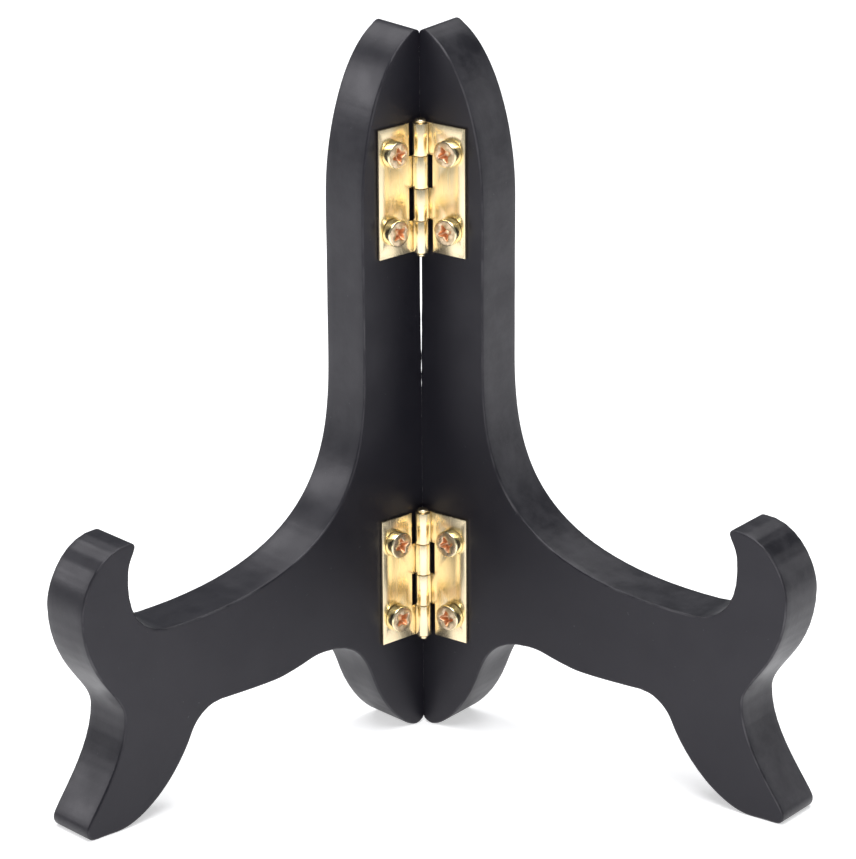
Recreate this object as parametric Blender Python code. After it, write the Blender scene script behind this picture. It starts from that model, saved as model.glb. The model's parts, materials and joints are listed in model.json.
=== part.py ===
"""Folding photo album stand.

Two flat wooden panels, cut to the same outline, stand on edge and open like a book on two
brass butt hinges. Each panel is a tall spine with an arm that ends in an upturned hook and a
splayed foot. The frame: +Z up, X across the opening, the opening faces -Y, the floor is Z = 0.
"""

import math

import bmesh
import bpy
from mathutils import Matrix, Vector
from mathutils.geometry import interpolate_bezier

MM = 0.001

# ---------------------------------------------------------------- driving dimensions (mm, degrees)
OPEN_ANGLE = 101.6          # between the two panels' inner faces, fully open

PANEL_THICKNESS = 10.75
EDGE_EASING = 0.5           # radius of the sanded round along every panel edge
SEAM_GAP = 0.2              # between the panels' rounded inner corners, along the hinge line
OUTLINE_STEP = 1.9          # longest straight piece of a panel's curved outline

HINGE_HEIGHT = 25.4
HINGE_CENTRES = {"upper": 110.2, "lower": 32.1}
LEAF_REACH = 9.6            # from the pin's axis to a leaf's outer edge
LEAF_THICKNESS = 0.6
LEAF_SEAT = 0.1             # between a leaf and the panel it is screwed to
KNUCKLE_DIAMETER = 3.0
KNUCKLES = 4                # down one hinge, taken in turn by the right and the left leaf
KNUCKLE_GAP = 0.12          # between one knuckle and the next
NOTCH_REACH = 2.05          # how far a leaf is cut back beside the other leaf's knuckles

PIN_DIAMETER = 1.3
PIN_HEAD_DIAMETER = 2.1
PIN_HEAD_HEIGHT = 0.9
PIN_TAIL = 1.0              # how far the pin's rounded end shows below the last knuckle

SCREW_FROM_AXIS = 6.3
SCREW_SPACING = 15.3        # between the two screws of a leaf
SCREW_HEAD_DIAMETER = 5.2
SCREW_HEAD_HEIGHT = 2.0
SCREW_HEAD_ROUND = 0.4      # radius round the head's upper rim
SCREW_SEAT = 0.1            # between a screw's head and the leaf
SCREW_SHANK_DIAMETER = 2.2
SCREW_LENGTH = 8.5          # from under the head to the point
SCREW_POINT = 2.2
CROSS_WIDTH = 0.95
CROSS_SPAN = 3.1
CROSS_DEPTH = 1.2
LEAF_HOLE_DIAMETER = 2.9
PILOT_HOLE_DIAMETER = 2.9
PILOT_CLEARANCE = 0.4       # depth of a pilot hole beyond the screw's point

# One panel's outline, walked clockwise from the hinge side of the spine's top. Each row is a
# point (along the panel from its hinge-side edge, height), the heading of the curve there in
# degrees, and how far the curve holds that heading before and after the point.
OUTLINE = (
    (0.0, 139.55, 90, 1.0, 0.65),       # round the spine's top corner
    (1.6, 140.35, -24, 0.65, 8.8),
    (14.7, 108.0, -90, 14.3, 14.5),     # down the spine's side
    (14.6, 80.0, -90, 20.0, 18.0),
    (62.0, 37.35, 0, 48.0, 6.0),        # the seat, along the top of the arm
    (72.2, 48.4, 90, 7.5, 4.2),         # up inside the hook
    (70.5, 55.1, 112, 2.6, 0.65),       # round the hook's tip
    (71.35, 56.35, 4, 0.65, 8.1),
    (83.3, 44.4, -90, 4.2, 12.9),       # down the hook's back
    (74, 22.3, -90, 5.0, 9.0),          # the ankle
    (83.5, 2.2, -75, 2.5, 0.9),         # round the toe
    (82, 0.0, 180, 1.1, 1.0),
    (76.3, 0.0, 180, 1.0, 6.0),         # the flat sole
    (58.0, 15.0, 115, 9.5, 1.8),        # up the inside of the foot
    (51.0, 19.4, 180, 3.6, 1.3),        # the underside of the arm
    (35.5, 19.7, 170, 3.2, 6.8),
    (25.2, 21.7, 180, 3.7, 9.0),        # the arch beside the spine
    (12.6, 11.5, -112, 5.2, 7.4),
    (2.1, 0.0, 180, 2.4, 0.7),          # round the spine's bottom corner
    (0.0, 1.3, 90, 0.7, 1.0),
)

# ---------------------------------------------------------------- dimensions that follow
HALF_ANGLE = math.radians(OPEN_ANGLE) / 2
KNUCKLE_RADIUS = KNUCKLE_DIAMETER / 2
KNUCKLE_BORE = KNUCKLE_RADIUS - LEAF_THICKNESS
KNUCKLE_PITCH = HINGE_HEIGHT / KNUCKLES
AXIS_TO_LEAF = KNUCKLE_RADIUS - LEAF_THICKNESS          # from the pin's axis to a leaf's face
AXIS_TO_PANEL = KNUCKLE_RADIUS + LEAF_SEAT              # from the pin's axis to a panel's face
CORNER_ROUNDED_OFF = EDGE_EASING * (math.sin(HALF_ANGLE) + math.cos(HALF_ANGLE) - 1)
EDGE_FROM_AXIS = ((SEAM_GAP / 2 - AXIS_TO_PANEL * math.cos(HALF_ANGLE) - CORNER_ROUNDED_OFF)
                  / math.sin(HALF_ANGLE))                # from the pin's axis to a panel's edge
PANEL_REACH = EDGE_FROM_AXIS + max(row[0] for row in OUTLINE)
FRONT_FROM_AXIS = ((PANEL_REACH - EDGE_EASING) * math.cos(HALF_ANGLE)
                   - (AXIS_TO_PANEL + EDGE_EASING) * math.sin(HALF_ANGLE) + EDGE_EASING)
BACK_FROM_AXIS = ((AXIS_TO_PANEL + PANEL_THICKNESS - EDGE_EASING) * math.sin(HALF_ANGLE)
                  - (EDGE_FROM_AXIS + EDGE_EASING) * math.cos(HALF_ANGLE) + EDGE_EASING)
AXIS_Y = (FRONT_FROM_AXIS - BACK_FROM_AXIS) / 2         # puts the stand's middle on Y = 0
SIDES = {"left": -1, "right": 1}


# ---------------------------------------------------------------- materials
def material(name, colour, roughness, metallic):
    made = bpy.data.materials.new(name)
    made.use_nodes = True
    shader = made.node_tree.nodes["Principled BSDF"]
    shader.inputs["Base Color"].default_value = (*colour, 1)
    shader.inputs["Roughness"].default_value = roughness
    shader.inputs["Metallic"].default_value = metallic
    return made


# ---------------------------------------------------------------- mesh helpers
def finished_mesh(shape, name, smooth_below=30):
    """Turn a bmesh in millimetres into a mesh in metres, shaded smooth away from its corners."""
    bmesh.ops.recalc_face_normals(shape, faces=shape.faces)
    bmesh.ops.scale(shape, vec=(MM, MM, MM), verts=shape.verts)
    mesh = bpy.data.meshes.new(name)
    shape.to_mesh(mesh)
    shape.free()
    mesh.shade_smooth()
    mesh.set_sharp_from_angle(angle=math.radians(smooth_below))
    return mesh


def stacked(rings, name):
    """A closed solid through rings of the same number of points, capped at both ends."""
    shape = bmesh.new()
    loops = [[shape.verts.new(point) for point in ring] for ring in rings]
    for lower, upper in zip(loops, loops[1:]):
        for i in range(len(lower)):
            shape.faces.new((lower[i - 1], lower[i], upper[i], upper[i - 1]))
    shape.faces.new(loops[0])
    shape.faces.new(loops[-1])
    return finished_mesh(shape, name)


def turned(profile, name, steps):
    """A solid of revolution about Z from (radius, height) points that start and end on the axis."""
    shape = bmesh.new()
    verts = [shape.verts.new((radius, 0, height)) for radius, height in profile]
    edges = [shape.edges.new(pair) for pair in zip(verts, verts[1:])]
    bmesh.ops.spin(shape, geom=verts + edges, cent=(0, 0, 0), axis=(0, 0, 1),
                   angle=math.tau, steps=steps, use_merge=True)
    bmesh.ops.remove_doubles(shape, verts=shape.verts, dist=1e-4)
    return finished_mesh(shape, name)


def arc(centre, radius, start, end, pieces):
    """Points on an arc, angles in degrees."""
    angles = [math.radians(start + (end - start) * i / pieces) for i in range(pieces + 1)]
    return [(centre[0] + radius * math.cos(a), centre[1] + radius * math.sin(a)) for a in angles]


def box(size, name):
    shape = bmesh.new()
    bmesh.ops.create_cube(shape, size=1)
    bmesh.ops.scale(shape, vec=size, verts=shape.verts)
    return finished_mesh(shape, name)


def rod(diameter, length, name, sides=20):
    shape = bmesh.new()
    bmesh.ops.create_cone(shape, cap_ends=True, segments=sides, radius1=diameter / 2,
                          radius2=diameter / 2, depth=length)
    return finished_mesh(shape, name)


def add(name, mesh, parent=None, location=(0, 0, 0), rotation=(0, 0, 0), finish=None):
    """Add an object at a place in millimetres under its parent."""
    piece = bpy.data.objects.new(name, mesh)
    piece.location = Vector(location) * MM
    piece.rotation_euler = rotation
    piece.parent = parent
    bpy.context.scene.collection.objects.link(piece)
    if finish and not mesh.materials:
        mesh.materials.append(finish)
    return piece


def cut(target, cutter):
    """Take the cutter's shape out of the target."""
    cutter.hide_render = True
    cutter.display_type = "WIRE"
    difference = target.modifiers.new("cut", "BOOLEAN")
    difference.operation = "DIFFERENCE"
    difference.object = cutter


def with_cuts(target, name):
    """The target's mesh with its cuts made, for several pieces to share."""
    bpy.context.view_layer.update()
    evaluated = target.evaluated_get(bpy.context.evaluated_depsgraph_get())
    mesh = bpy.data.meshes.new_from_object(evaluated)
    mesh.name = name
    for modifier in target.modifiers:
        bpy.data.objects.remove(modifier.object)
    bpy.data.objects.remove(target)
    return mesh


# ---------------------------------------------------------------- panels
def heading(degrees):
    return Vector((math.cos(math.radians(degrees)), math.sin(math.radians(degrees))))


def panel_outline():
    """The outline as points, close enough together to follow its curves."""
    points = []
    for start, end in zip(OUTLINE, OUTLINE[1:]):
        here, there = Vector(start[:2]), Vector(end[:2])
        leave = here + heading(start[2]) * start[4]
        arrive = there - heading(end[2]) * end[3]
        pieces = max(4, math.ceil((there - here).length / OUTLINE_STEP))
        points += interpolate_bezier(here, leave, arrive, there, pieces + 1)[:-1]
    points.append(Vector(OUTLINE[-1][:2]))
    return [point.to_2d() for point in points]


def inset(points, distance):
    """The clockwise outline moved inwards by a distance."""
    moved = []
    for i, point in enumerate(points):
        before = (point - points[i - 1]).normalized()
        after = (points[(i + 1) % len(points)] - point).normalized()
        normal_before = Vector((before.y, -before.x))
        normal_after = Vector((after.y, -after.x))
        mitre = (normal_before + normal_after) / (1 + normal_before.dot(normal_after))
        moved.append(point + mitre * distance)
    return moved


def panel_mesh():
    """A board in the XZ plane, X = 0 at its hinge-side edge, with sanded round edges."""
    outline = panel_outline()
    quarter = [math.radians(angle) for angle in (0, 45, 90)]
    rise = [(EDGE_EASING * (1 - math.sin(a)), EDGE_EASING * (1 - math.cos(a))) for a in quarter]
    levels = rise + [(inwards, PANEL_THICKNESS - depth) for inwards, depth in reversed(rise)]
    rings = []
    for inwards, depth in levels:
        y = depth - PANEL_THICKNESS / 2
        rings.append([(point.x, y, point.y) for point in inset(outline, inwards)])
    return stacked(rings, "panel")


def add_panel(side, fold, paint):
    """One panel, with a pilot hole behind each of its hinge screws."""
    middle = SIDES[side] * (AXIS_TO_PANEL + PANEL_THICKNESS / 2)
    panel = add(f"{side}_panel", panel_mesh(), fold, (EDGE_FROM_AXIS, middle, 0), finish=paint)
    head_seat = AXIS_TO_LEAF - SCREW_SEAT
    hole_depth = SCREW_LENGTH - (AXIS_TO_PANEL - head_seat) + PILOT_CLEARANCE
    for hinge, centre in HINGE_CENTRES.items():
        for end in (-1, 1):
            height = centre + end * SCREW_SPACING / 2
            drill = rod(PILOT_HOLE_DIAMETER, 2 * hole_depth, "drill")
            place = (SCREW_FROM_AXIS, SIDES[side] * AXIS_TO_PANEL, height)
            cut(panel, add(f"{side}_drill", drill, fold, place, (math.pi / 2, 0, 0)))
    return panel


# ---------------------------------------------------------------- hinges
def leaf_mesh():
    """A hinge leaf about its pin's axis, Z: the sheet runs along X and its face looks to -Y."""
    meet = math.degrees(math.asin(AXIS_TO_LEAF / KNUCKLE_RADIUS))   # the roll is back at the sheet
    profile = [(LEAF_REACH, KNUCKLE_RADIUS)]
    profile += arc((0, 0), KNUCKLE_RADIUS, 90, 360 + meet, 22)
    profile += [(LEAF_REACH, AXIS_TO_LEAF)]
    ends = (-HINGE_HEIGHT / 2, HINGE_HEIGHT / 2)
    leaf = add("leaf", stacked([[(x, y, z) for x, y in profile] for z in ends], "leaf"))
    cut(leaf, add("bore", rod(2 * KNUCKLE_BORE, HINGE_HEIGHT * 1.5, "bore", 24)))
    notch_width = 2 * NOTCH_REACH
    for knuckle in range(1, KNUCKLES, 2):
        overrun = KNUCKLE_PITCH if knuckle == KNUCKLES - 1 else 0
        top = HINGE_HEIGHT / 2 - knuckle * KNUCKLE_PITCH + KNUCKLE_GAP / 2
        bottom = top - KNUCKLE_PITCH - KNUCKLE_GAP - overrun
        notch = box((notch_width, notch_width, top - bottom), "notch")
        cut(leaf, add("notch", notch, location=(0, 0, (top + bottom) / 2)))
    for end in (-1, 1):
        hole = rod(LEAF_HOLE_DIAMETER, 4 * KNUCKLE_RADIUS, "hole")
        place = (SCREW_FROM_AXIS, KNUCKLE_RADIUS, end * SCREW_SPACING / 2)
        cut(leaf, add("hole", hole, location=place, rotation=(math.pi / 2, 0, 0)))
    return with_cuts(leaf, "leaf")


def pin_mesh():
    """A hinge pin along Z, its domed head just above the knuckles and its end rounded below."""
    top = HINGE_HEIGHT / 2 + KNUCKLE_GAP
    bottom = -HINGE_HEIGHT / 2 - PIN_TAIL
    head, shaft = PIN_HEAD_DIAMETER / 2, PIN_DIAMETER / 2
    rim = PIN_HEAD_HEIGHT * 0.35
    dome = [(head * math.cos(a), top + rim + (PIN_HEAD_HEIGHT - rim) * math.sin(a))
            for a in (math.radians(angle) for angle in (0, 30, 60))]
    tail = [(shaft * math.sin(a), bottom + shaft * (1 - math.cos(a)))
            for a in (math.radians(angle) for angle in (30, 60, 90))]
    profile = [(0, bottom), *tail, (shaft, top), (head, top), *dome, (0, top + PIN_HEAD_HEIGHT)]
    return turned(profile, "pin", 20)


def screw_mesh():
    """A pan-head screw along Z, its head's seat at Z = 0, with a cross recess."""
    head, shank = SCREW_HEAD_DIAMETER / 2, SCREW_SHANK_DIAMETER / 2
    shoulder = SCREW_HEAD_HEIGHT - SCREW_HEAD_ROUND
    rim = arc((head - SCREW_HEAD_ROUND, shoulder), SCREW_HEAD_ROUND, 0, 90, 4)
    profile = [(0, -SCREW_LENGTH), (shank, SCREW_POINT - SCREW_LENGTH), (shank, 0), (head, 0)]
    profile += [*rim, (0, SCREW_HEAD_HEIGHT)]
    screw = add("screw", turned(profile, "screw", 28))
    wide, span = CROSS_WIDTH / 2, CROSS_SPAN / 2
    corner = [(wide, wide), (wide, span), (-wide, span)]
    turns = [Matrix.Rotation(math.tau * quarter / 4, 2) for quarter in range(4)]
    cross = [turn @ Vector(point) for turn in turns for point in corner]
    floor = SCREW_HEAD_HEIGHT - CROSS_DEPTH
    rings = [[(x * scale, y * scale, z) for x, y in cross]
             for scale, z in ((0.5, floor), (1, SCREW_HEAD_HEIGHT + 0.01), (1, 2 * SCREW_HEAD_HEIGHT))]
    cut(screw, add("cross", stacked(rings, "cross")))
    return with_cuts(screw, "screw")


def add_hinges(folds, brass):
    """Both butt hinges: on the left the same leaf is used turned end for end."""
    leaf, pin, screw = leaf_mesh(), pin_mesh(), screw_mesh()
    seat = AXIS_TO_LEAF - SCREW_SEAT
    for hinge, centre in HINGE_CENTRES.items():
        for side, sign in SIDES.items():
            over = 0 if side == "right" else math.pi
            add(f"{hinge}_hinge_{side}_leaf", leaf, folds[side], (0, 0, centre), (over, 0, 0), brass)
            for place, end in (("top", 1), ("bottom", -1)):
                spot = (SCREW_FROM_AXIS, sign * seat, centre + end * SCREW_SPACING / 2)
                add(f"{hinge}_hinge_{side}_{place}_screw", screw, folds[side], spot,
                    (sign * math.pi / 2, 0, 0), brass)
        add(f"{hinge}_hinge_pin", pin, folds["left"], (0, 0, centre), finish=brass)


# ---------------------------------------------------------------- the stand
def clear_scene():
    for leftover in list(bpy.data.objects):
        bpy.data.objects.remove(leftover)


def build_stand():
    clear_scene()
    paint = material("black_paint", (0.012, 0.012, 0.013), 0.55, 0.0)
    brass = material("brass", (0.85, 0.58, 0.22), 0.22, 1.0)
    folds = {}
    for side, sign in SIDES.items():
        turn = -math.pi / 2 + sign * HALF_ANGLE
        folds[side] = add(f"{side}_side", None, location=(0, AXIS_Y, 0), rotation=(0, 0, turn))
        add_panel(side, folds[side], paint)
    add_hinges(folds, brass)


build_stand()
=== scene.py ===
"""The looks of a folding photo album stand: black painted boards on bright brass butt hinges.

Every piece is rebuilt finer than its CAD node, in the place that the node holds. A side's own
space runs along its board from the hinge axis, through the board to its back, and up.
Lengths are metres, and angles are degrees unless a name says otherwise.
"""

import json
import math

import bmesh
import bpy
import numpy as np
from mathutils import Matrix, Vector, noise


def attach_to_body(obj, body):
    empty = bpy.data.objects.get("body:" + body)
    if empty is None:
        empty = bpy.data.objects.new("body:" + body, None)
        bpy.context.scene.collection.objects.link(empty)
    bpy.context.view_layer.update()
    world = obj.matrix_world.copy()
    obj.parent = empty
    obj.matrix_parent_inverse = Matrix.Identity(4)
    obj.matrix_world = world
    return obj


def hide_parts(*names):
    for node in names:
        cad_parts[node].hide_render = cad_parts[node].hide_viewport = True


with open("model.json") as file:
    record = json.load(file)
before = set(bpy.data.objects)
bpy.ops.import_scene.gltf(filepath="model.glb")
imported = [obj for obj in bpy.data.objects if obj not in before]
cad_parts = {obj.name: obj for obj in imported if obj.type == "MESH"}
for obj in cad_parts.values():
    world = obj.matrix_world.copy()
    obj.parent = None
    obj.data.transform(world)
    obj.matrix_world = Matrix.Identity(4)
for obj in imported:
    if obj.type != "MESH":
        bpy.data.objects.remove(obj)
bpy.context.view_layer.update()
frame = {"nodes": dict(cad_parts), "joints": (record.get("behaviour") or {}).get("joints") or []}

MM = 0.001
SIDES = {"left": -1, "right": 1}
HINGES = ("upper", "lower")
SCREW_PLACES = ("top", "bottom")
WELD = 0.0005 * MM              # points nearer than this become one

# ---------------------------------------------------------------- sizes of the boards' details
EDGE_EASING = 0.5 * MM          # the sanded round along a board's edges
HINGE_EASING = 0.2 * MM         # the same, along the two edges that meet at the hinge
EASING_STEPS = 5
EASING_VARIES = 0.3             # share of the round that comes and goes along an edge
EASING_PATCHES = 90             # patches of more or less rounding, per metre of outline
BULGE_LIMIT = 0.92              # share of a tight bend's radius that a round may take
LONGEST_STEP = 2.0 * MM         # along a board's outline, before it is smoothed
SUPPORT = 0.25 * MM             # flat ring of the face beside the round
STRIP_ROWS = 7                  # rows of points across a board's sawn edge
SANDING_DEPTH = 0.06 * MM       # how unevenly the sawn edges were sanded
SANDING_PATCHES = (160, 260)    # hollows per metre, along the outline and across the edge
SANDING_STARTS = 3 * MM         # height above the floor by which the hollows are full
SIDE_SEEDS = {"left": 3.7, "right": 11.3}
EDGE_MOTTLE_STRENGTH = {"left": 0.45, "right": 1.0}    # how strongly the sawn edges are mottled and paled; the right side's are paler than the left's

HINGE_EDGE = 3.0 * MM           # the stretch beside the hinge that is left true
CAD_SEAM = 0.2 * MM             # between the CAD boards' corners at the hinge line
SEAM_CLOSED = 0.001 * MM        # between the boards where they all but touch
SLIT_WIDTH = 0.34 * MM          # the boards bow apart here, and light shows through
SLIT_HEIGHTS = (66 * MM, 82 * MM, 102 * MM, 120 * MM)   # starts, full, narrows, closed
SLIT_UNEVEN = 0.3 * MM          # the slit's edges touch here and there as it closes
SLIT_EVEN_ABOVE = 5 * MM        # this far above its full height, they no longer do
SLIT_PATCHES = 0.37             # patches of uneven edge per millimetre
SLIT_PHASE = 0.4
SLIT_CONTRAST = 1.3

SCREW_HOLE_RADIUS = 1.45 * MM
SCREW_HOLE_DEPTH = 7.4 * MM
SCREW_HOLE_TIP = 0.6 * MM       # the cone that the drill's tip leaves
HOLE_STEPS = 20

# ---------------------------------------------------------------- sizes of the hinges' details
LEAF_THICKNESS = 0.6 * MM
LEAF_BURR = 0.17 * MM           # the small round left on a pressed sheet's rim
KNUCKLES = 4
KNUCKLE_GAP = 0.12 * MM
ROLL_STEPS = 44
ROLL_STOPS_SHORT = 2.5          # degrees between a roll's end and the sheet's face
NOTCH_REACH = 2.05 * MM         # how far the notches beside the knuckles cut into the sheet

PIN_STEPS = 32
PIN_LOOSE = 0.1 * MM            # between the shaft and the knuckles' bore
PIN_BURR = 0.06 * MM            # the head's lower edge, and its gap above the top knuckle
PIN_BUTTON = 0.66               # the head's height, as a share of the CAD head's
PIN_RIM = 0.28 * MM             # round of the head's upper edge
PIN_TAIL_RADIUS = 0.85 * MM
PIN_TAIL_LENGTH = 0.6 * MM
PIN_NECK = 0.72                 # the neck above the tail's knob, as a share of its radius

SCREW_HEAD_HEIGHT = 2.0 * MM
SCREW_HEAD_ROUND = 0.36 * MM
SCREW_HEAD_BURR = 0.06 * MM
SCREW_HEAD_STEPS = 48
SCREW_CROWN = 0.1 * MM          # how much the head's top bulges
CROSS_WIDTH = 0.95 * MM
CROSS_SPAN = 3.1 * MM
CROSS_DEPTH = 1.2 * MM
CROSS_LIP = 0.15 * MM           # the rounded edge of the recess
THREAD_CORE = 0.8 * MM
THREAD_CREST = 1.3 * MM
THREAD_PITCH = 1.0 * MM
THREAD_ROWS = 44
THREAD_STEPS = 16
THREAD_FADES_IN = 1.2 * MM
THREAD_TAPERS_FROM = 0.72       # share of the shaft's length
SCREW_TURNS = {                 # how far each cross recess is turned
    ("upper", "left", "top"): 12, ("upper", "left", "bottom"): 40,
    ("upper", "right", "top"): 25, ("upper", "right", "bottom"): 22,
    ("lower", "left", "top"): 15, ("lower", "left", "bottom"): 38,
    ("lower", "right", "top"): 20, ("lower", "right", "bottom"): 2,
}

# ---------------------------------------------------------------- colours, light and camera
PAINT_SHEEN = 0.42
PAINT_SHEEN_TINT = (0.965, 0.935, 1.0, 1)
FACE_TONES = (0.0035, 0.0033, 0.0068), (0.0055, 0.0052, 0.0092)
EDGE_TONES = (0.004, 0.0039, 0.0065), (0.022, 0.0215, 0.0255)
# paler band along the boards' rounded edges: paint scuffed thin, and a painted highlight where the
# round catches light
SCUFF_AND_HIGHLIGHT_TONE = (0.07, 0.068, 0.074)
SPECK_TONE = (0.06, 0.06, 0.066)
SHEET_TONES = (1.0, 0.845, 0.56), (0.97, 0.75, 0.44)
PLATED_TONES = (0.95, 0.85, 0.55), (0.9, 0.74, 0.4)
HANDLED_TONES = (0.68, 0.5, 0.34), (0.4, 0.28, 0.18)
# painted shade deep in the screws' cross recesses
RECESS_SHADE_TONE = (0.86, 0.47, 0.27)

FLOOR_WIDTH = 6.0
FLOOR_COLOUR = (0.8, 0.8, 0.81, 1)
FLOOR_GLOW = 0.52
SURROUNDINGS = (0.93, 0.96, 1.0, 1)
SURROUNDINGS_STRENGTH = 0.24
LIGHTS = (                      # name, place, the point it faces, size, watts
    ("overhead", (0.0, 0.25, 1.0), (0, 0.1, 0), (0.8, 0.8), 4),
    ("front_top", (0.0, -0.2, 0.5), (0.0, -0.12, 0), (0.3, 0.3), 1.8),
    ("left_back", (-0.5, 0.5, 0.85), (0, 0, 0.05), (0.4, 0.4), 2.2),
    ("right_back", (0.4, 0.6, 0.9), (0, 0, 0.05), (0.4, 0.4), 1.4),
    ("left_box", (-1.0, 0.17, 0.46), (0, 0, 0.12), (0.4, 0.3), 2.8),
    ("right_box", (1.0, 0.2, 0.3), (0, 0, 0.08), (0.4, 0.3), 0.8),
)
CAMERA_LENS = 197.04            # in millimetres, as Blender counts it
CAMERA_PLACE = (-0.0364, -0.82498, 0.37056)
CAMERA_YAW, CAMERA_TIP, CAMERA_ROLL = -2.54, 69.94, -0.343


# ---------------------------------------------------------------- where things are in the frame
def face_normal(node):
    """The way that a board's two large faces look, turned to the back of the stand."""
    areas = {}
    for polygon in frame["nodes"][node].data.polygons:
        normal = polygon.normal * math.copysign(1, polygon.normal.y)
        key = normal.to_tuple(3)
        areas[key] = areas.get(key, 0.0) + polygon.area
    return Vector(max(areas, key=areas.get)).normalized()


def side_space(side):
    """From a side's own space to the row frame. The left side's is its mirror image."""
    back = face_normal(f"{side}_panel")
    along = back.cross(Vector((0, 0, 1))) * SIDES[side]
    space = Matrix((along, back, (0, 0, 1))).transposed().to_4x4()
    space.translation = Vector(frame["joints"][0]["pos_m"]) * Vector((1, 1, 0))
    return space


SPACES = {side: side_space(side) for side in SIDES}
HALF_ANGLE = math.acos(SPACES["right"].col[1].x)


def own_box(node, side):
    """A CAD node's lowest and highest corners in its side's own space."""
    into = SPACES[side].inverted()
    points = np.array([into @ vertex.co for vertex in frame["nodes"][node].data.vertices])
    return Vector(points.min(0)), Vector(points.max(0))


# ---------------------------------------------------------------- mesh helpers
def finished(shape, name, space, smooth_below=35):
    """Close a bmesh built in a side's own space, put it in the row frame and shade it smooth."""
    bmesh.ops.remove_doubles(shape, verts=shape.verts, dist=WELD)
    bmesh.ops.transform(shape, matrix=space, verts=shape.verts)
    bmesh.ops.recalc_face_normals(shape, faces=shape.faces)
    mesh = bpy.data.meshes.new(name)
    shape.to_mesh(mesh)
    shape.free()
    mesh.shade_smooth()
    mesh.set_sharp_from_angle(angle=math.radians(smooth_below))
    piece = bpy.data.objects.new(name, mesh)
    bpy.context.scene.collection.objects.link(piece)
    return piece


def new_loop(shape, points):
    return [shape.verts.new(point) for point in points]


def bridge(shape, lower, upper, closed=True):
    """Quads between two loops of the same length."""
    for i in range(0 if closed else 1, len(lower)):
        shape.faces.new((lower[i - 1], lower[i], upper[i], upper[i - 1]))


def bridge_all(shape, loops):
    for lower, upper in zip(loops, loops[1:]):
        bridge(shape, lower, upper)


def fill_between(shape, loops):
    """Fill the flat region inside the first loop and outside the others with triangles."""
    edges = []
    for loop in loops:
        for i in range(len(loop)):
            pair = (loop[i - 1], loop[i])
            edges.append(shape.edges.get(pair) or shape.edges.new(pair))
    bmesh.ops.triangle_fill(shape, use_beauty=True, edges=edges)


def close_to_point(shape, loop, point):
    tip = shape.verts.new(point)
    for i in range(len(loop)):
        shape.faces.new((loop[i - 1], loop[i], tip))


def circle(radius, steps):
    angles = [math.tau * i / steps for i in range(steps)]
    return [(radius * math.cos(a), radius * math.sin(a)) for a in angles]


def arc(centre, radius, start, end, steps):
    """Points on an arc, from one angle to another."""
    angles = [math.radians(start + (end - start) * i / steps) for i in range(steps + 1)]
    return [(centre[0] + radius * math.cos(a), centre[1] + radius * math.sin(a)) for a in angles]


def smoothstep(low, high, value):
    t = min(max((value - low) / (high - low), 0.0), 1.0)
    return t * t * (3 - 2 * t)


# ---------------------------------------------------------------- the boards
def cad_outline(side):
    """The CAD board's outline, as points (along, up), from the ring where its round begins."""
    shape = bmesh.new()
    shape.from_mesh(frame["nodes"][f"{side}_panel"].data)
    bmesh.ops.transform(shape, matrix=SPACES[side].inverted(), verts=shape.verts)
    bmesh.ops.remove_doubles(shape, verts=shape.verts, dist=0.005 * MM)
    level = min(vertex.co.y for vertex in shape.verts) + EDGE_EASING
    here = [vertex for vertex in shape.verts if abs(vertex.co.y - level) < 0.02 * MM]
    unused = set(here)
    vertex = max(here, key=lambda v: v.co.z)
    ring = []
    while vertex:
        unused.discard(vertex)
        ring.append(np.array((vertex.co.x, vertex.co.z)))
        near = [edge.other_vert(vertex) for edge in vertex.link_edges]
        near = [other for other in near if other in unused]
        vertex = max(near, key=lambda v: v.co.x + v.co.z) if near else None
    shape.free()
    return np.array(ring)


def smooth_ring(points):
    """The closed outline with points added between, on a curve through all of them."""
    spread = []
    for point, following in zip(points, np.roll(points, -1, 0)):
        parts = math.ceil(np.linalg.norm(following - point) / LONGEST_STEP)
        spread += [point + (following - point) * i / parts for i in range(parts)]
    points = np.array(spread)
    after = np.roll(points, -1, 0)
    reach = np.linalg.norm(after - points, axis=1)[:, None]
    slope = (after - points) / reach
    reach_before, slope_before = np.roll(reach, 1, 0), np.roll(slope, 1, 0)
    tangent = (slope_before * reach + slope * reach_before) / (reach + reach_before)
    pieces = []
    for t in (0, 1 / 2):
        start = (1 + 2 * t) * (1 - t) ** 2 * points + t * (1 - t) ** 2 * reach * tangent
        end = t * t * (3 - 2 * t) * after + t * t * (t - 1) * reach * np.roll(tangent, -1, 0)
        pieces.append(start + end)
    return np.stack(pieces, 1).reshape(-1, 2)


def outward(points):
    """Unit normals that look out of the closed outline, and its radius where it bulges."""
    before = points - np.roll(points, 1, 0)
    after = np.roll(points, -1, 0) - points
    length_before = np.linalg.norm(before, axis=1)
    length_after = np.linalg.norm(after, axis=1)
    tangent = before / length_before[:, None] + after / length_after[:, None]
    tangent /= np.linalg.norm(tangent, axis=1)[:, None]
    turn = np.cross(before, after) / (length_before * length_after)
    winding = np.sign(turn.sum())
    normal = np.stack((tangent[:, 1], -tangent[:, 0]), 1) * winding
    bulge = turn * winding / (0.5 * (length_before + length_after))
    return normal, 1 / np.maximum(bulge, 1.0)


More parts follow.
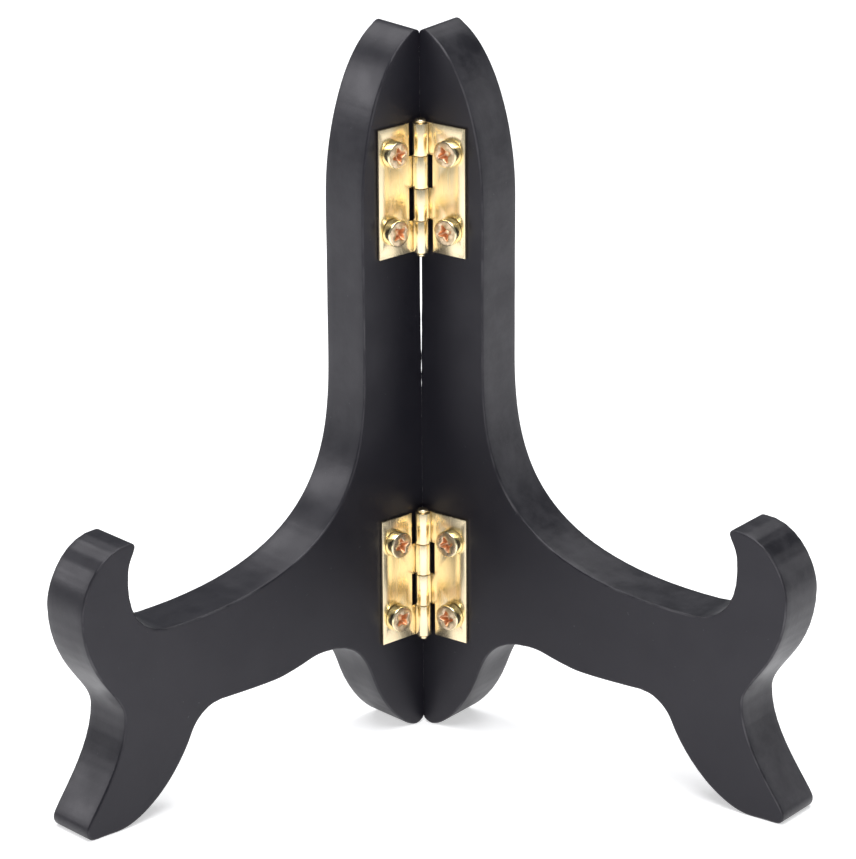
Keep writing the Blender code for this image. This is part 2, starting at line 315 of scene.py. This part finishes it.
def seam_shift(height):
    """How far a board's hinge edge stands from the CAD's, along the board."""
    low, full, easing, high = SLIT_HEIGHTS
    opening = SLIT_WIDTH * smoothstep(low, full, height)
    spot = Vector((0, 0, height / MM * SLIT_PATCHES + SLIT_PHASE))
    patchy = max(0.5 + SLIT_CONTRAST * noise.noise(spot), 0.0)
    opening -= SLIT_UNEVEN * patchy * (1 - smoothstep(full, full + SLIT_EVEN_ABOVE, height))
    opening = max(opening * (1 - smoothstep(easing, high, height)), SEAM_CLOSED)
    squared = (EDGE_EASING - HINGE_EASING) * (math.sin(HALF_ANGLE) + math.cos(HALF_ANGLE) - 1)
    return ((opening - CAD_SEAM) / 2 + squared) / math.sin(HALF_ANGLE)


def seam_limit(depth):
    """The least distance along a board that keeps it on its own side of the stand's middle."""
    return (SEAM_CLOSED / 2 - depth * math.cos(HALF_ANGLE)) / math.sin(HALF_ANGLE)


def board_levels():
    """(share of the round's reach inwards, share of its depth, rest of the depth) of each ring."""
    quarter = [math.pi / 2 * i / EASING_STEPS for i in range(EASING_STEPS + 1)]
    face = [(1 - math.sin(a), 1 - math.cos(a)) for a in quarter]
    levels = [(inwards, down, 0.0) for inwards, down in face]
    levels += [(0.0, 1.0, i / STRIP_ROWS) for i in range(1, STRIP_ROWS)]
    levels += [(inwards, down, 1.0) for inwards, down in reversed(face)]
    return levels


def ring_depth(inner, outer, ease, down, row):
    """How deep in the board a ring's point is: in one of the two rounds, or in a row between."""
    if row == 0:
        return inner + ease * down
    if row == 1:
        return outer - ease * down
    return inner + ease + (outer - inner - 2 * ease) * row


def board(side):
    """One board: a smooth outline, uneven sanded edges and a pilot hole behind each screw."""
    low, high = own_box(f"{side}_panel", side)
    inner, outer, seed = low.y, high.y, SIDE_SEEDS[side]
    outline = smooth_ring(cad_outline(side))
    normal, radius = outward(outline)
    run = np.cumsum(np.linalg.norm(outline - np.roll(outline, 1, 0), axis=1))
    shape = bmesh.new()
    marks = {name: shape.verts.layers.float.new(name) for name in ("scuff_and_highlight", "sawn", "run")}

    def ring(inwards, down, row, extra=0.0):
        loop = []
        for i, (along, up) in enumerate(outline):
            true = 1 - smoothstep(0.5 * HINGE_EDGE, HINGE_EDGE, along - low.x)
            patch = Vector((run[i] * EASING_PATCHES, seed, 0.0))
            swell = 1 - EASING_VARIES * (1 - true) * (0.5 + 0.5 * noise.noise(patch))
            ease = EDGE_EASING * swell + (HINGE_EASING - EDGE_EASING) * true
            reach = min(ease * inwards + extra, BULGE_LIMIT * radius[i])
            depth = ring_depth(inner, outer, ease, down, row)
            patch = Vector((run[i] * SANDING_PATCHES[0], depth * SANDING_PATCHES[1], seed))
            hollow = SANDING_DEPTH * (0.5 + 0.5 * noise.noise(patch)) * (1 - inwards)
            hollow *= (1 - true) * smoothstep(0, SANDING_STARTS, up)
            spot = outline[i] - normal[i] * (reach + hollow)
            along = max(spot[0] + true * seam_shift(up), seam_limit(depth))
            vertex = shape.verts.new((along, depth, max(spot[1], 0.0)))
            # A paler band along the middle of each round: scuffed paint, and a painted highlight
            # where the round catches light.
            scuff_and_highlight_share = 4 * inwards * (1 - inwards) * (1 - true)
            vertex[marks["scuff_and_highlight"]] = scuff_and_highlight_share if extra == 0 else 0.0
            vertex[marks["sawn"]] = (1 - inwards) * EDGE_MOTTLE_STRENGTH[side]
            vertex[marks["run"]] = run[i]
            loop.append(vertex)
        return loop

    loops = [ring(1.0, 0.0, 0.0, SUPPORT)]
    loops += [ring(*level) for level in board_levels()]
    loops.append(ring(1.0, 0.0, 1.0, SUPPORT))
    bridge_all(shape, loops)
    screws = [f"{hinge}_hinge_{side}_{place}_screw" for hinge in HINGES for place in SCREW_PLACES]
    holes = [pilot_hole(shape, screw_node, side, inner) for screw_node in screws]
    fill_between(shape, [loops[0], *holes])
    fill_between(shape, [loops[-1]])
    return finished(shape, f"{side}_board", SPACES[side])


def pilot_hole(shape, screw_node, side, face):
    """A drilled hole into the board's inner face, and its rim for the face to be filled up to."""
    low, high = own_box(screw_node, side)
    middle = (low + high) / 2
    rims = []
    for depth in (face, face + SCREW_HOLE_DEPTH):
        rims.append(new_loop(shape, [(middle.x + x, depth, middle.z + z)
                                     for x, z in circle(SCREW_HOLE_RADIUS, HOLE_STEPS)]))
    bridge(shape, *rims)
    tip = face + SCREW_HOLE_DEPTH + SCREW_HOLE_TIP
    close_to_point(shape, rims[1], (middle.x, tip, middle.z))
    return rims[0]


# ---------------------------------------------------------------- the hinges
def rolled_sheet(radius):
    """The sheet's two faces as it runs from the notch line round the pin and back to itself."""
    inner = radius - LEAF_THICKNESS
    stop = 360 + math.degrees(math.asin(inner / radius)) - ROLL_STOPS_SHORT
    outside = [(NOTCH_REACH * i / 4, radius) for i in (4, 3, 2, 1)]
    inside = [(NOTCH_REACH * i / 4, inner) for i in (4, 3, 2, 1)]
    outside += arc((0, 0), radius, 90, stop, ROLL_STEPS)
    inside += arc((0, 0), inner, 90, stop, ROLL_STEPS)
    return outside, inside


def knuckle_heights(side, low, high):
    """The top and the bottom of each knuckle that this side's leaf is rolled into."""
    pitch = (high - low) / KNUCKLES
    heights = []
    for knuckle in range(0 if side == "right" else 1, KNUCKLES, 2):
        top = high - knuckle * pitch - (KNUCKLE_GAP / 2 if knuckle else 0)
        end = high - (knuckle + 1) * pitch + (KNUCKLE_GAP / 2 if knuckle < KNUCKLES - 1 else 0)
        heights.append((top, end))
    return heights


def roll_knuckle(shape, outline, inline, top, end):
    """One knuckle, open where it joins the flat sheet."""
    rings = []
    for height in (top, end):
        outside = new_loop(shape, [(x, y, height) for x, y in outline])
        inside = new_loop(shape, [(x, y, height) for x, y in inline])
        bridge(shape, outside, inside, closed=False)
        rings.append((outside, inside))
    (outside, inside), (outside_below, inside_below) = rings
    bridge(shape, outside, outside_below, closed=False)
    bridge(shape, inside, inside_below, closed=False)
    shape.faces.new((outside[-1], inside[-1], inside_below[-1], outside_below[-1]))


def flat_sheet(shape, depths, notch_heights, low, high, screw_middles, rolled):
    """The leaf's flat part with its screw holes, open where the knuckles join it."""
    faces = []
    for depth in depths:
        rim = [(NOTCH_REACH, depth, height) for height in notch_heights]
        rim += [(high.x, depth, low.z), (high.x, depth, high.z)]
        rim = new_loop(shape, rim)
        holes = [new_loop(shape, [(m.x + x, depth, m.z + z)
                                  for x, z in circle(SCREW_HOLE_RADIUS, HOLE_STEPS)])
                 for m in screw_middles]
        fill_between(shape, [rim, *holes])
        faces.append((rim, holes))
    (front_rim, front_holes), (back_rim, back_holes) = faces
    for front_hole, back_hole in zip(front_holes, back_holes):
        bridge(shape, front_hole, back_hole)
    for i in range(len(front_rim)):
        middle = (front_rim[i - 1].co.z + front_rim[i].co.z) / 2
        if 0 < i < len(notch_heights) and any(end < middle < top for top, end in rolled):
            continue
        shape.faces.new((front_rim[i - 1], front_rim[i], back_rim[i], back_rim[i - 1]))


def take_off_burr(shape, sharper_than=40):
    """Round the pressed sheet's sharp edges."""
    bmesh.ops.remove_doubles(shape, verts=shape.verts, dist=WELD)
    bmesh.ops.recalc_face_normals(shape, faces=shape.faces)
    limit = math.radians(sharper_than)
    sharp = [edge for edge in shape.edges if edge.calc_face_angle(0) > limit]
    bmesh.ops.bevel(shape, geom=sharp, offset=LEAF_BURR, segments=2, profile=0.5,
                    affect="EDGES", clamp_overlap=True, loop_slide=True)


def leaf(hinge, side):
    """A butt hinge's leaf: a pressed sheet with screw holes, rolled into two of the knuckles."""
    name = f"{hinge}_hinge_{side}_leaf"
    low, high = own_box(name, side)
    radius = -low.y
    outline, inline = rolled_sheet(radius)
    rolled = knuckle_heights(side, low.z, high.z)
    shape = bmesh.new()
    for top, end in rolled:
        roll_knuckle(shape, outline, inline, top, end)
    notch_heights = {low.z, high.z}.union(*rolled)
    boxes = [own_box(f"{hinge}_hinge_{side}_{place}_screw", side) for place in SCREW_PLACES]
    middles = [(lowest + highest) / 2 for lowest, highest in boxes]
    depths = (radius - LEAF_THICKNESS, radius)
    flat_sheet(shape, depths, sorted(notch_heights, reverse=True), low, high, middles, rolled)
    take_off_burr(shape)
    return finished(shape, f"{name}_sheet", SPACES[side])


def lathe(shape, profile, steps):
    """Turn (radius, height) points about the own space's up axis; the ends are on the axis."""
    loops = [new_loop(shape, [(x, y, height) for x, y in circle(radius, steps)])
             for radius, height in profile[1:-1]]
    bridge_all(shape, loops)
    close_to_point(shape, loops[0], (0, 0, profile[0][1]))
    close_to_point(shape, loops[-1], (0, 0, profile[-1][1]))


def pin_tail(tip, top):
    """The pin's lower end, from its tip: a small knob with a round end, and a neck above it."""
    radius, neck = PIN_TAIL_RADIUS, PIN_NECK * PIN_TAIL_RADIUS
    profile = [(0, tip)]
    for angle in (15, 35, 55, 72, 90):
        a = math.radians(angle)
        profile.append((radius * math.sin(a), tip + 0.5 * radius * (1 - math.cos(a))))
    knob_top = tip + PIN_TAIL_LENGTH
    return profile + [(radius, knob_top), (neck, knob_top + 0.12 * MM), (neck, top - 0.02 * MM)]


def pin_head(seat, top, radius):
    """The pin's head, from its underside: a low button with a rounded rim."""
    button = PIN_BUTTON * (top - seat)
    profile = [(radius - PIN_BURR, seat), (radius, seat + PIN_BURR)]
    profile += arc((radius - PIN_RIM, seat + button - PIN_RIM), PIN_RIM, 0, 84, 6)
    return profile + [(radius * 0.4, seat + button + 0.02 * MM), (0, seat + button + 0.03 * MM)]


def pin(hinge):
    """The hinge's pin: a low button head above, a plain shaft, and a small knob below."""
    name = f"{hinge}_hinge_pin"
    low, high = own_box(name, "right")
    leaf_low, leaf_high = own_box(f"{hinge}_hinge_right_leaf", "right")
    shaft = -leaf_low.y - LEAF_THICKNESS - PIN_LOOSE
    seat = leaf_high.z + PIN_BURR
    profile = pin_tail(low.z, leaf_low.z)
    profile += [(shaft, leaf_low.z + 0.05 * MM), (shaft, seat)]
    profile += pin_head(seat, high.z, high.x)
    shape = bmesh.new()
    lathe(shape, profile, PIN_STEPS)
    place = Matrix.Translation(SPACES["right"].translation)
    return finished(shape, f"{name}_turned", place, smooth_below=50)


def cross_outline(width, span, steps=5):
    """A cross recess's outline: four arms that narrow to round ends, with round inner corners."""
    root, tip, reach, inner = 0.56 * width, 0.26 * width, span / 2, 0.2 * width
    corner = root + inner
    quarter = [(reach - tip + tip * math.cos(a), tip * math.sin(a))
               for a in (math.radians(80 * i / steps) for i in range(steps + 1))]
    quarter += [(corner - inner * math.sin(a), corner - inner * math.cos(a))
                for a in (math.radians(20 + 50 * i / steps) for i in range(steps + 1))]
    quarter += [(tip * math.cos(a), reach - tip + tip * math.sin(a))
                for a in (math.radians(10 + 80 * i / steps) for i in range(steps))]
    points = []
    for turn in range(4):
        rotation = Matrix.Rotation(math.tau * turn / 4, 2)
        points += [rotation @ Vector(point) for point in quarter]
    return points


def screw_head(shape, radius):
    """A pan head with a cross recess, marked where it is handled and where the recess gets painted
    shade. Returns its lower rim.
    """
    recess = shape.verts.layers.float.new("recess")
    handled = shape.verts.layers.float.new("handled")
    top, lip = SCREW_HEAD_HEIGHT, CROSS_LIP
    centre = (radius - SCREW_HEAD_ROUND, top - SCREW_CROWN - SCREW_HEAD_ROUND)
    profile = [(radius - SCREW_HEAD_BURR, 0), (radius, SCREW_HEAD_BURR)]
    profile += arc(centre, SCREW_HEAD_ROUND, 0, 84, 7)
    loops = [new_loop(shape, [(x, y, height) for x, y in circle(r, SCREW_HEAD_STEPS)])
             for r, height in profile]
    for vertex in loops[-1] + loops[-2]:
        vertex[handled] = 1.0
    bridge_all(shape, loops)
    # The recess: the arms' width and span, the height, and how much painted shade darkens and
    # reddens it, from its lip down.
    stages = [(CROSS_WIDTH + 2 * lip, CROSS_SPAN + 2 * lip, top, 0.0),
              (CROSS_WIDTH + 0.8 * lip, CROSS_SPAN + 0.8 * lip, top - 0.3 * lip, 0.45),
              (CROSS_WIDTH, CROSS_SPAN, top - lip, 0.9),
              (CROSS_WIDTH * 0.86, CROSS_SPAN * 0.8, top - CROSS_DEPTH * 0.6, 1.0),
              (CROSS_WIDTH * 0.7, CROSS_SPAN * 0.5, top - CROSS_DEPTH, 1.0)]
    walls = []
    for width, span, height, recess_shade in stages:
        loop = new_loop(shape, [(x, y, height) for x, y in cross_outline(width, span)])
        for vertex in loop:
            vertex[recess] = recess_shade
            vertex[handled] = 1.0
        walls.append(loop)
    bridge_all(shape, walls)
    close_to_point(shape, walls[-1], (0, 0, top - CROSS_DEPTH - 0.1 * MM))
    fill_between(shape, [loops[-1], walls[0]])
    return loops[0]


def screw_shaft(shape, head_rim, length):
    """Under the head: the neck, and the thread, which fades in and runs out to a point."""
    neck_circle = circle(THREAD_CORE * 1.15, SCREW_HEAD_STEPS)
    neck = new_loop(shape, [(x, y, 0) for x, y in neck_circle])
    bridge(shape, head_rim, neck)
    shaft = []
    for row in range(THREAD_ROWS + 1):
        depth = length * row / (THREAD_ROWS + 1)
        taper = 1 - smoothstep(length * THREAD_TAPERS_FROM, length, depth)
        fade = smoothstep(0, THREAD_FADES_IN, depth)
        ring = []
        for x, y in circle(1, THREAD_STEPS):
            phase = (depth / THREAD_PITCH + math.atan2(y, x) / math.tau) % 1.0
            crest = max(0.0, 1 - abs(phase - 0.5) * 4)
            rise = (THREAD_CREST - THREAD_CORE) * crest * fade * taper
            reach = THREAD_CORE * max(taper, 0.08) + rise
            ring.append((x * reach, y * reach, -depth))
        shaft.append(new_loop(shape, ring))
    bridge_all(shape, shaft)
    fill_between(shape, [neck, shaft[0]])
    close_to_point(shape, shaft[-1], (0, 0, -length))


def screw(name, side, turn):
    """A pan-head screw with a cross recess and a thread, its head towards the open side."""
    low, high = own_box(name, side)
    middle = (low + high) / 2
    shape = bmesh.new()
    head_rim = screw_head(shape, (high.z - low.z) / 2)
    screw_shaft(shape, head_rim, (high.y - low.y) - SCREW_HEAD_HEIGHT)
    head_up = Matrix.Rotation(math.radians(90), 4, "X") @ Matrix.Rotation(math.radians(turn), 4, "Z")
    place = Matrix.Translation((middle.x, low.y + SCREW_HEAD_HEIGHT, middle.z))
    righted = Matrix.Diagonal((SIDES[side], 1, 1, 1))
    space = SPACES[side] @ place @ righted @ head_up
    return finished(shape, f"{name}_pan_head", space, smooth_below=40)


# ---------------------------------------------------------------- materials
class Nodes:
    """Adds and links the nodes of one material."""

    def __init__(self, name, roughness, metallic=0.0):
        self.made = bpy.data.materials.new(name)
        self.made.use_nodes = True
        self.tree = self.made.node_tree
        self.shader = self.tree.nodes["Principled BSDF"]
        self.shader.inputs["Roughness"].default_value = roughness
        self.shader.inputs["Metallic"].default_value = metallic
        self.object_space = self.tree.nodes.new("ShaderNodeTexCoord").outputs["Object"]

    def put(self, value, socket):
        if isinstance(value, bpy.types.NodeSocket):
            self.tree.links.new(value, socket)
        else:
            socket.default_value = value

    def shade(self, colour, roughness, normal):
        for name, value in (("Base Color", colour), ("Roughness", roughness), ("Normal", normal)):
            self.put(value, self.shader.inputs[name])

    def mark(self, name):
        """A number stored on the mesh's points."""
        node = self.tree.nodes.new("ShaderNodeAttribute")
        node.attribute_name = name
        return node.outputs["Fac"]

    def sideways(self):
        """How far right of the stand's middle a point is."""
        node = self.tree.nodes.new("ShaderNodeSeparateXYZ")
        self.put(self.object_space, node.inputs[0])
        return node.outputs["X"]

    def point(self, x, y, z):
        node = self.tree.nodes.new("ShaderNodeCombineXYZ")
        for value, socket in zip((x, y, z), node.inputs):
            self.put(value, socket)
        return node.outputs["Vector"]

    def stretched(self, x, y, z):
        """Object coordinates multiplied by one number each way."""
        node = self.tree.nodes.new("ShaderNodeVectorMath")
        node.operation = "MULTIPLY"
        self.put(self.object_space, node.inputs[0])
        node.inputs[1].default_value = (x, y, z)
        return node.outputs["Vector"]

    def noise(self, scale, detail=3.0, roughness=0.5, vector=None):
        node = self.tree.nodes.new("ShaderNodeTexNoise")
        self.put(vector or self.object_space, node.inputs["Vector"])
        node.inputs["Scale"].default_value = scale
        node.inputs["Detail"].default_value = detail
        node.inputs["Roughness"].default_value = roughness
        return node.outputs["Fac"]

    def between(self, value, low, high, start=0.0, end=1.0):
        """Value's range from low to high, spread smoothly from start to end."""
        node = self.tree.nodes.new("ShaderNodeMapRange")
        node.interpolation_type = "SMOOTHSTEP"
        for place, number in zip(("Value", 1, 2, 3, 4), (value, low, high, start, end)):
            self.put(number, node.inputs[place])
        return node.outputs["Result"]

    def maths(self, operation, first, second):
        node = self.tree.nodes.new("ShaderNodeMath")
        node.operation = operation
        self.put(first, node.inputs[0])
        self.put(second, node.inputs[1])
        return node.outputs["Value"]

    def times(self, first, second):
        return self.maths("MULTIPLY", first, second)

    def plus(self, first, second):
        return self.maths("ADD", first, second)

    def mixed(self, share, first, second):
        node = self.tree.nodes.new("ShaderNodeMix")
        node.data_type = "RGBA"
        self.put(share, node.inputs["Factor"])
        for value, socket in ((first, node.inputs["A"]), (second, node.inputs["B"])):
            self.put((*value, 1) if isinstance(value, tuple) else value, socket)
        return node.outputs["Result"]

    def bump(self, height, depth, under=None):
        """Depth is how far the surface rises, in metres, as height goes from 0 to 1."""
        node = self.tree.nodes.new("ShaderNodeBump")
        node.inputs["Distance"].default_value = depth
        self.put(height, node.inputs["Height"])
        if under:
            self.put(under, node.inputs["Normal"])
        return node.outputs["Normal"]


def black_paint():
    """Thin matt black paint: brushed faces, mottled sanded edges, paler where the paint is scuffed
    thin, with a painted highlight along the rounded edges.
    """
    nodes = Nodes("black_paint", 0.5)
    nodes.shader.inputs["Specular IOR Level"].default_value = PAINT_SHEEN
    nodes.shader.inputs["Specular Tint"].default_value = PAINT_SHEEN_TINT
    sawn = nodes.mark("sawn")
    mottle = nodes.noise(scale=230, detail=4, roughness=0.62)
    colour = paint_colour(nodes, sawn, mottle)
    dull = nodes.between(nodes.noise(scale=120, detail=4), 0.3, 0.75, start=0.34, end=0.44)
    sawn_dullness = nodes.times(sawn, 0.05)
    dull = nodes.plus(dull, nodes.times(nodes.between(mottle, 0.3, 0.7), sawn_dullness))
    nodes.shade(colour, dull, paint_surface(nodes, sawn, mottle))
    return nodes.made


def paint_colour(nodes, sawn, mottle):
    """Cloudy on the faces, mottled on the sawn edges, scuffed and lit by a painted highlight along
    the rounded corners, with pale specks.
    """
    paint = nodes.mixed(nodes.noise(scale=55), *FACE_TONES)
    edge = nodes.mixed(nodes.between(mottle, 0.35, 0.7), *EDGE_TONES)
    paint = nodes.mixed(nodes.times(sawn, 0.8), paint, edge)
    patches = nodes.between(nodes.noise(scale=160), 0.35, 0.65)
    stretches = nodes.between(nodes.noise(scale=24, detail=1), 0.36, 0.6, start=0.25)
    # Paler stretches along the rounds: scuffed paint, and a painted highlight.
    scuffed_and_lit = nodes.times(stretches, nodes.times(nodes.mark("scuff_and_highlight"), patches))
    paint = nodes.mixed(scuffed_and_lit, paint, SCUFF_AND_HIGHLIGHT_TONE)
    specks = nodes.between(nodes.noise(scale=1300, detail=1), 0.77, 0.82)
    return nodes.mixed(nodes.times(specks, 0.35), paint, SPECK_TONE)


def paint_surface(nodes, sawn, mottle):
    """Fine orange peel, brush lines up the boards, and saw chatter across the sawn edges."""
    peel = nodes.bump(nodes.noise(scale=1100, detail=2), 0.012 * MM)
    brushed = nodes.noise(scale=1, vector=nodes.stretched(900, 900, 60))
    lines = nodes.bump(brushed, 0.006 * MM, under=peel)
    along_edge = nodes.point(nodes.times(nodes.mark("run"), 420), nodes.sideways(), 0.0)
    chatter = nodes.noise(scale=1, detail=2, vector=along_edge)
    rough_edge = nodes.times(nodes.plus(chatter, mottle), sawn)
    return nodes.bump(rough_edge, 0.05 * MM, under=lines)


def sheet_brass():
    """Bright rolled brass: faint roll lines up the sheet, light waves and a little tarnish."""
    nodes = Nodes("hinge_brass", 0.2, metallic=1.0)
    rolled = nodes.noise(scale=1, detail=2, vector=nodes.stretched(5200, 5200, 120))
    tarnish = nodes.between(nodes.noise(scale=330, detail=4, roughness=0.6), 0.52, 0.78)
    colour = nodes.mixed(nodes.times(tarnish, 0.5), *SHEET_TONES)
    dull = nodes.between(rolled, 0.3, 0.75, start=0.265, end=0.275)
    lines = nodes.bump(rolled, 0.00008 * MM)
    waves = nodes.bump(nodes.noise(scale=210, detail=1), 0.012 * MM, under=lines)
    nodes.shade(colour, dull, waves)
    return nodes.made


def screw_brass():
    """Plated brass, blotched where it is handled, with painted shade that makes it darker and redder
    down in the cross recess.
    """
    nodes = Nodes("screw_brass", 0.2, metallic=1.0)
    recess, handled = nodes.mark("recess"), nodes.mark("handled")
    spun = nodes.noise(scale=900, roughness=0.6)
    colour = nodes.mixed(nodes.between(spun, 0.4, 0.75), *PLATED_TONES)
    blotched = nodes.mixed(nodes.between(spun, 0.42, 0.6), *HANDLED_TONES)
    colour = nodes.mixed(nodes.times(handled, 0.8), colour, blotched)
    # Painted shade: darker and redder deeper in the cross recess.
    colour = nodes.mixed(nodes.times(recess, 0.85), colour, RECESS_SHADE_TONE)
    dull = nodes.between(spun, 0.3, 0.8, start=0.14, end=0.3)
    dull = nodes.plus(dull, nodes.times(handled, 0.1))
    dull = nodes.plus(dull, nodes.times(recess, 0.11))
    nodes.shade(colour, dull, nodes.bump(spun, 0.006 * MM))
    return nodes.made


# ---------------------------------------------------------------- the studio
def floor():
    """A wide plain white floor, lit until it is as white as paper."""
    shape = bmesh.new()
    bmesh.ops.create_grid(shape, x_segments=8, y_segments=8, size=FLOOR_WIDTH / 2)
    mesh = bpy.data.meshes.new("floor")
    shape.to_mesh(mesh)
    shape.free()
    piece = bpy.data.objects.new("floor", mesh)
    bpy.context.scene.collection.objects.link(piece)
    nodes = Nodes("floor_white", 0.9)
    nodes.shader.inputs["Base Color"].default_value = FLOOR_COLOUR
    nodes.shader.inputs["Specular IOR Level"].default_value = 0.1
    nodes.shader.inputs["Emission Color"].default_value = (1, 1, 1, 1)
    nodes.shader.inputs["Emission Strength"].default_value = FLOOR_GLOW
    mesh.materials.append(nodes.made)


def softbox(name, place, aim, size, power):
    """A rectangular soft light at a place, turned to face a point."""
    light = bpy.data.lights.new(name, "AREA")
    light.shape = "RECTANGLE"
    light.size, light.size_y = size
    light.energy = power
    piece = bpy.data.objects.new(name, light)
    piece.location = place
    piece.rotation_euler = (Vector(aim) - Vector(place)).to_track_quat("-Z", "Y").to_euler()
    bpy.context.scene.collection.objects.link(piece)


def studio():
    world = bpy.data.worlds.new("studio")
    world.use_nodes = True
    background = world.node_tree.nodes["Background"]
    background.inputs["Color"].default_value = SURROUNDINGS
    background.inputs["Strength"].default_value = SURROUNDINGS_STRENGTH
    bpy.context.scene.world = world
    for light in LIGHTS:
        softbox(*light)
    floor()
    bpy.context.scene.view_settings.view_transform = "Standard"


def camera():
    """The camera: a long lens, in front and a little above, tipped down to the stand."""
    data = bpy.data.cameras.new("camera")
    data.lens = CAMERA_LENS
    data.clip_start = 0.01
    made = bpy.data.objects.new("camera", data)
    yaw = Matrix.Rotation(math.radians(CAMERA_YAW), 3, "Z")
    tip = Matrix.Rotation(math.radians(CAMERA_TIP), 3, "X")
    roll = Matrix.Rotation(math.radians(CAMERA_ROLL), 3, "Z")
    made.matrix_world = Matrix.Translation(CAMERA_PLACE) @ (yaw @ tip @ roll).to_4x4()
    bpy.context.scene.collection.objects.link(made)
    bpy.context.scene.camera = made


# ---------------------------------------------------------------- the stand
def attach(piece, body, finish, slot, *nodes):
    piece.data.materials.append(finish)
    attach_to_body(piece, body)
    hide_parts(*nodes)


def stand():
    paint, brass, plated = black_paint(), sheet_brass(), screw_brass()
    for side in SIDES:
        body = f"{side}_side"
        attach(board(side), body, paint, "black_paint", f"{side}_panel")
        for hinge in HINGES:
            name = f"{hinge}_hinge_{side}_leaf"
            attach(leaf(hinge, side), body, brass, "hinge_brass", name)
            for place in SCREW_PLACES:
                name = f"{hinge}_hinge_{side}_{place}_screw"
                made = screw(name, side, SCREW_TURNS[hinge, side, place])
                attach(made, body, plated, "screw_brass", name)
    for hinge in HINGES:
        attach(pin(hinge), "left_side", brass, "hinge_brass", f"{hinge}_hinge_pin")


camera()
studio()
stand()

bpy.context.view_layer.update()
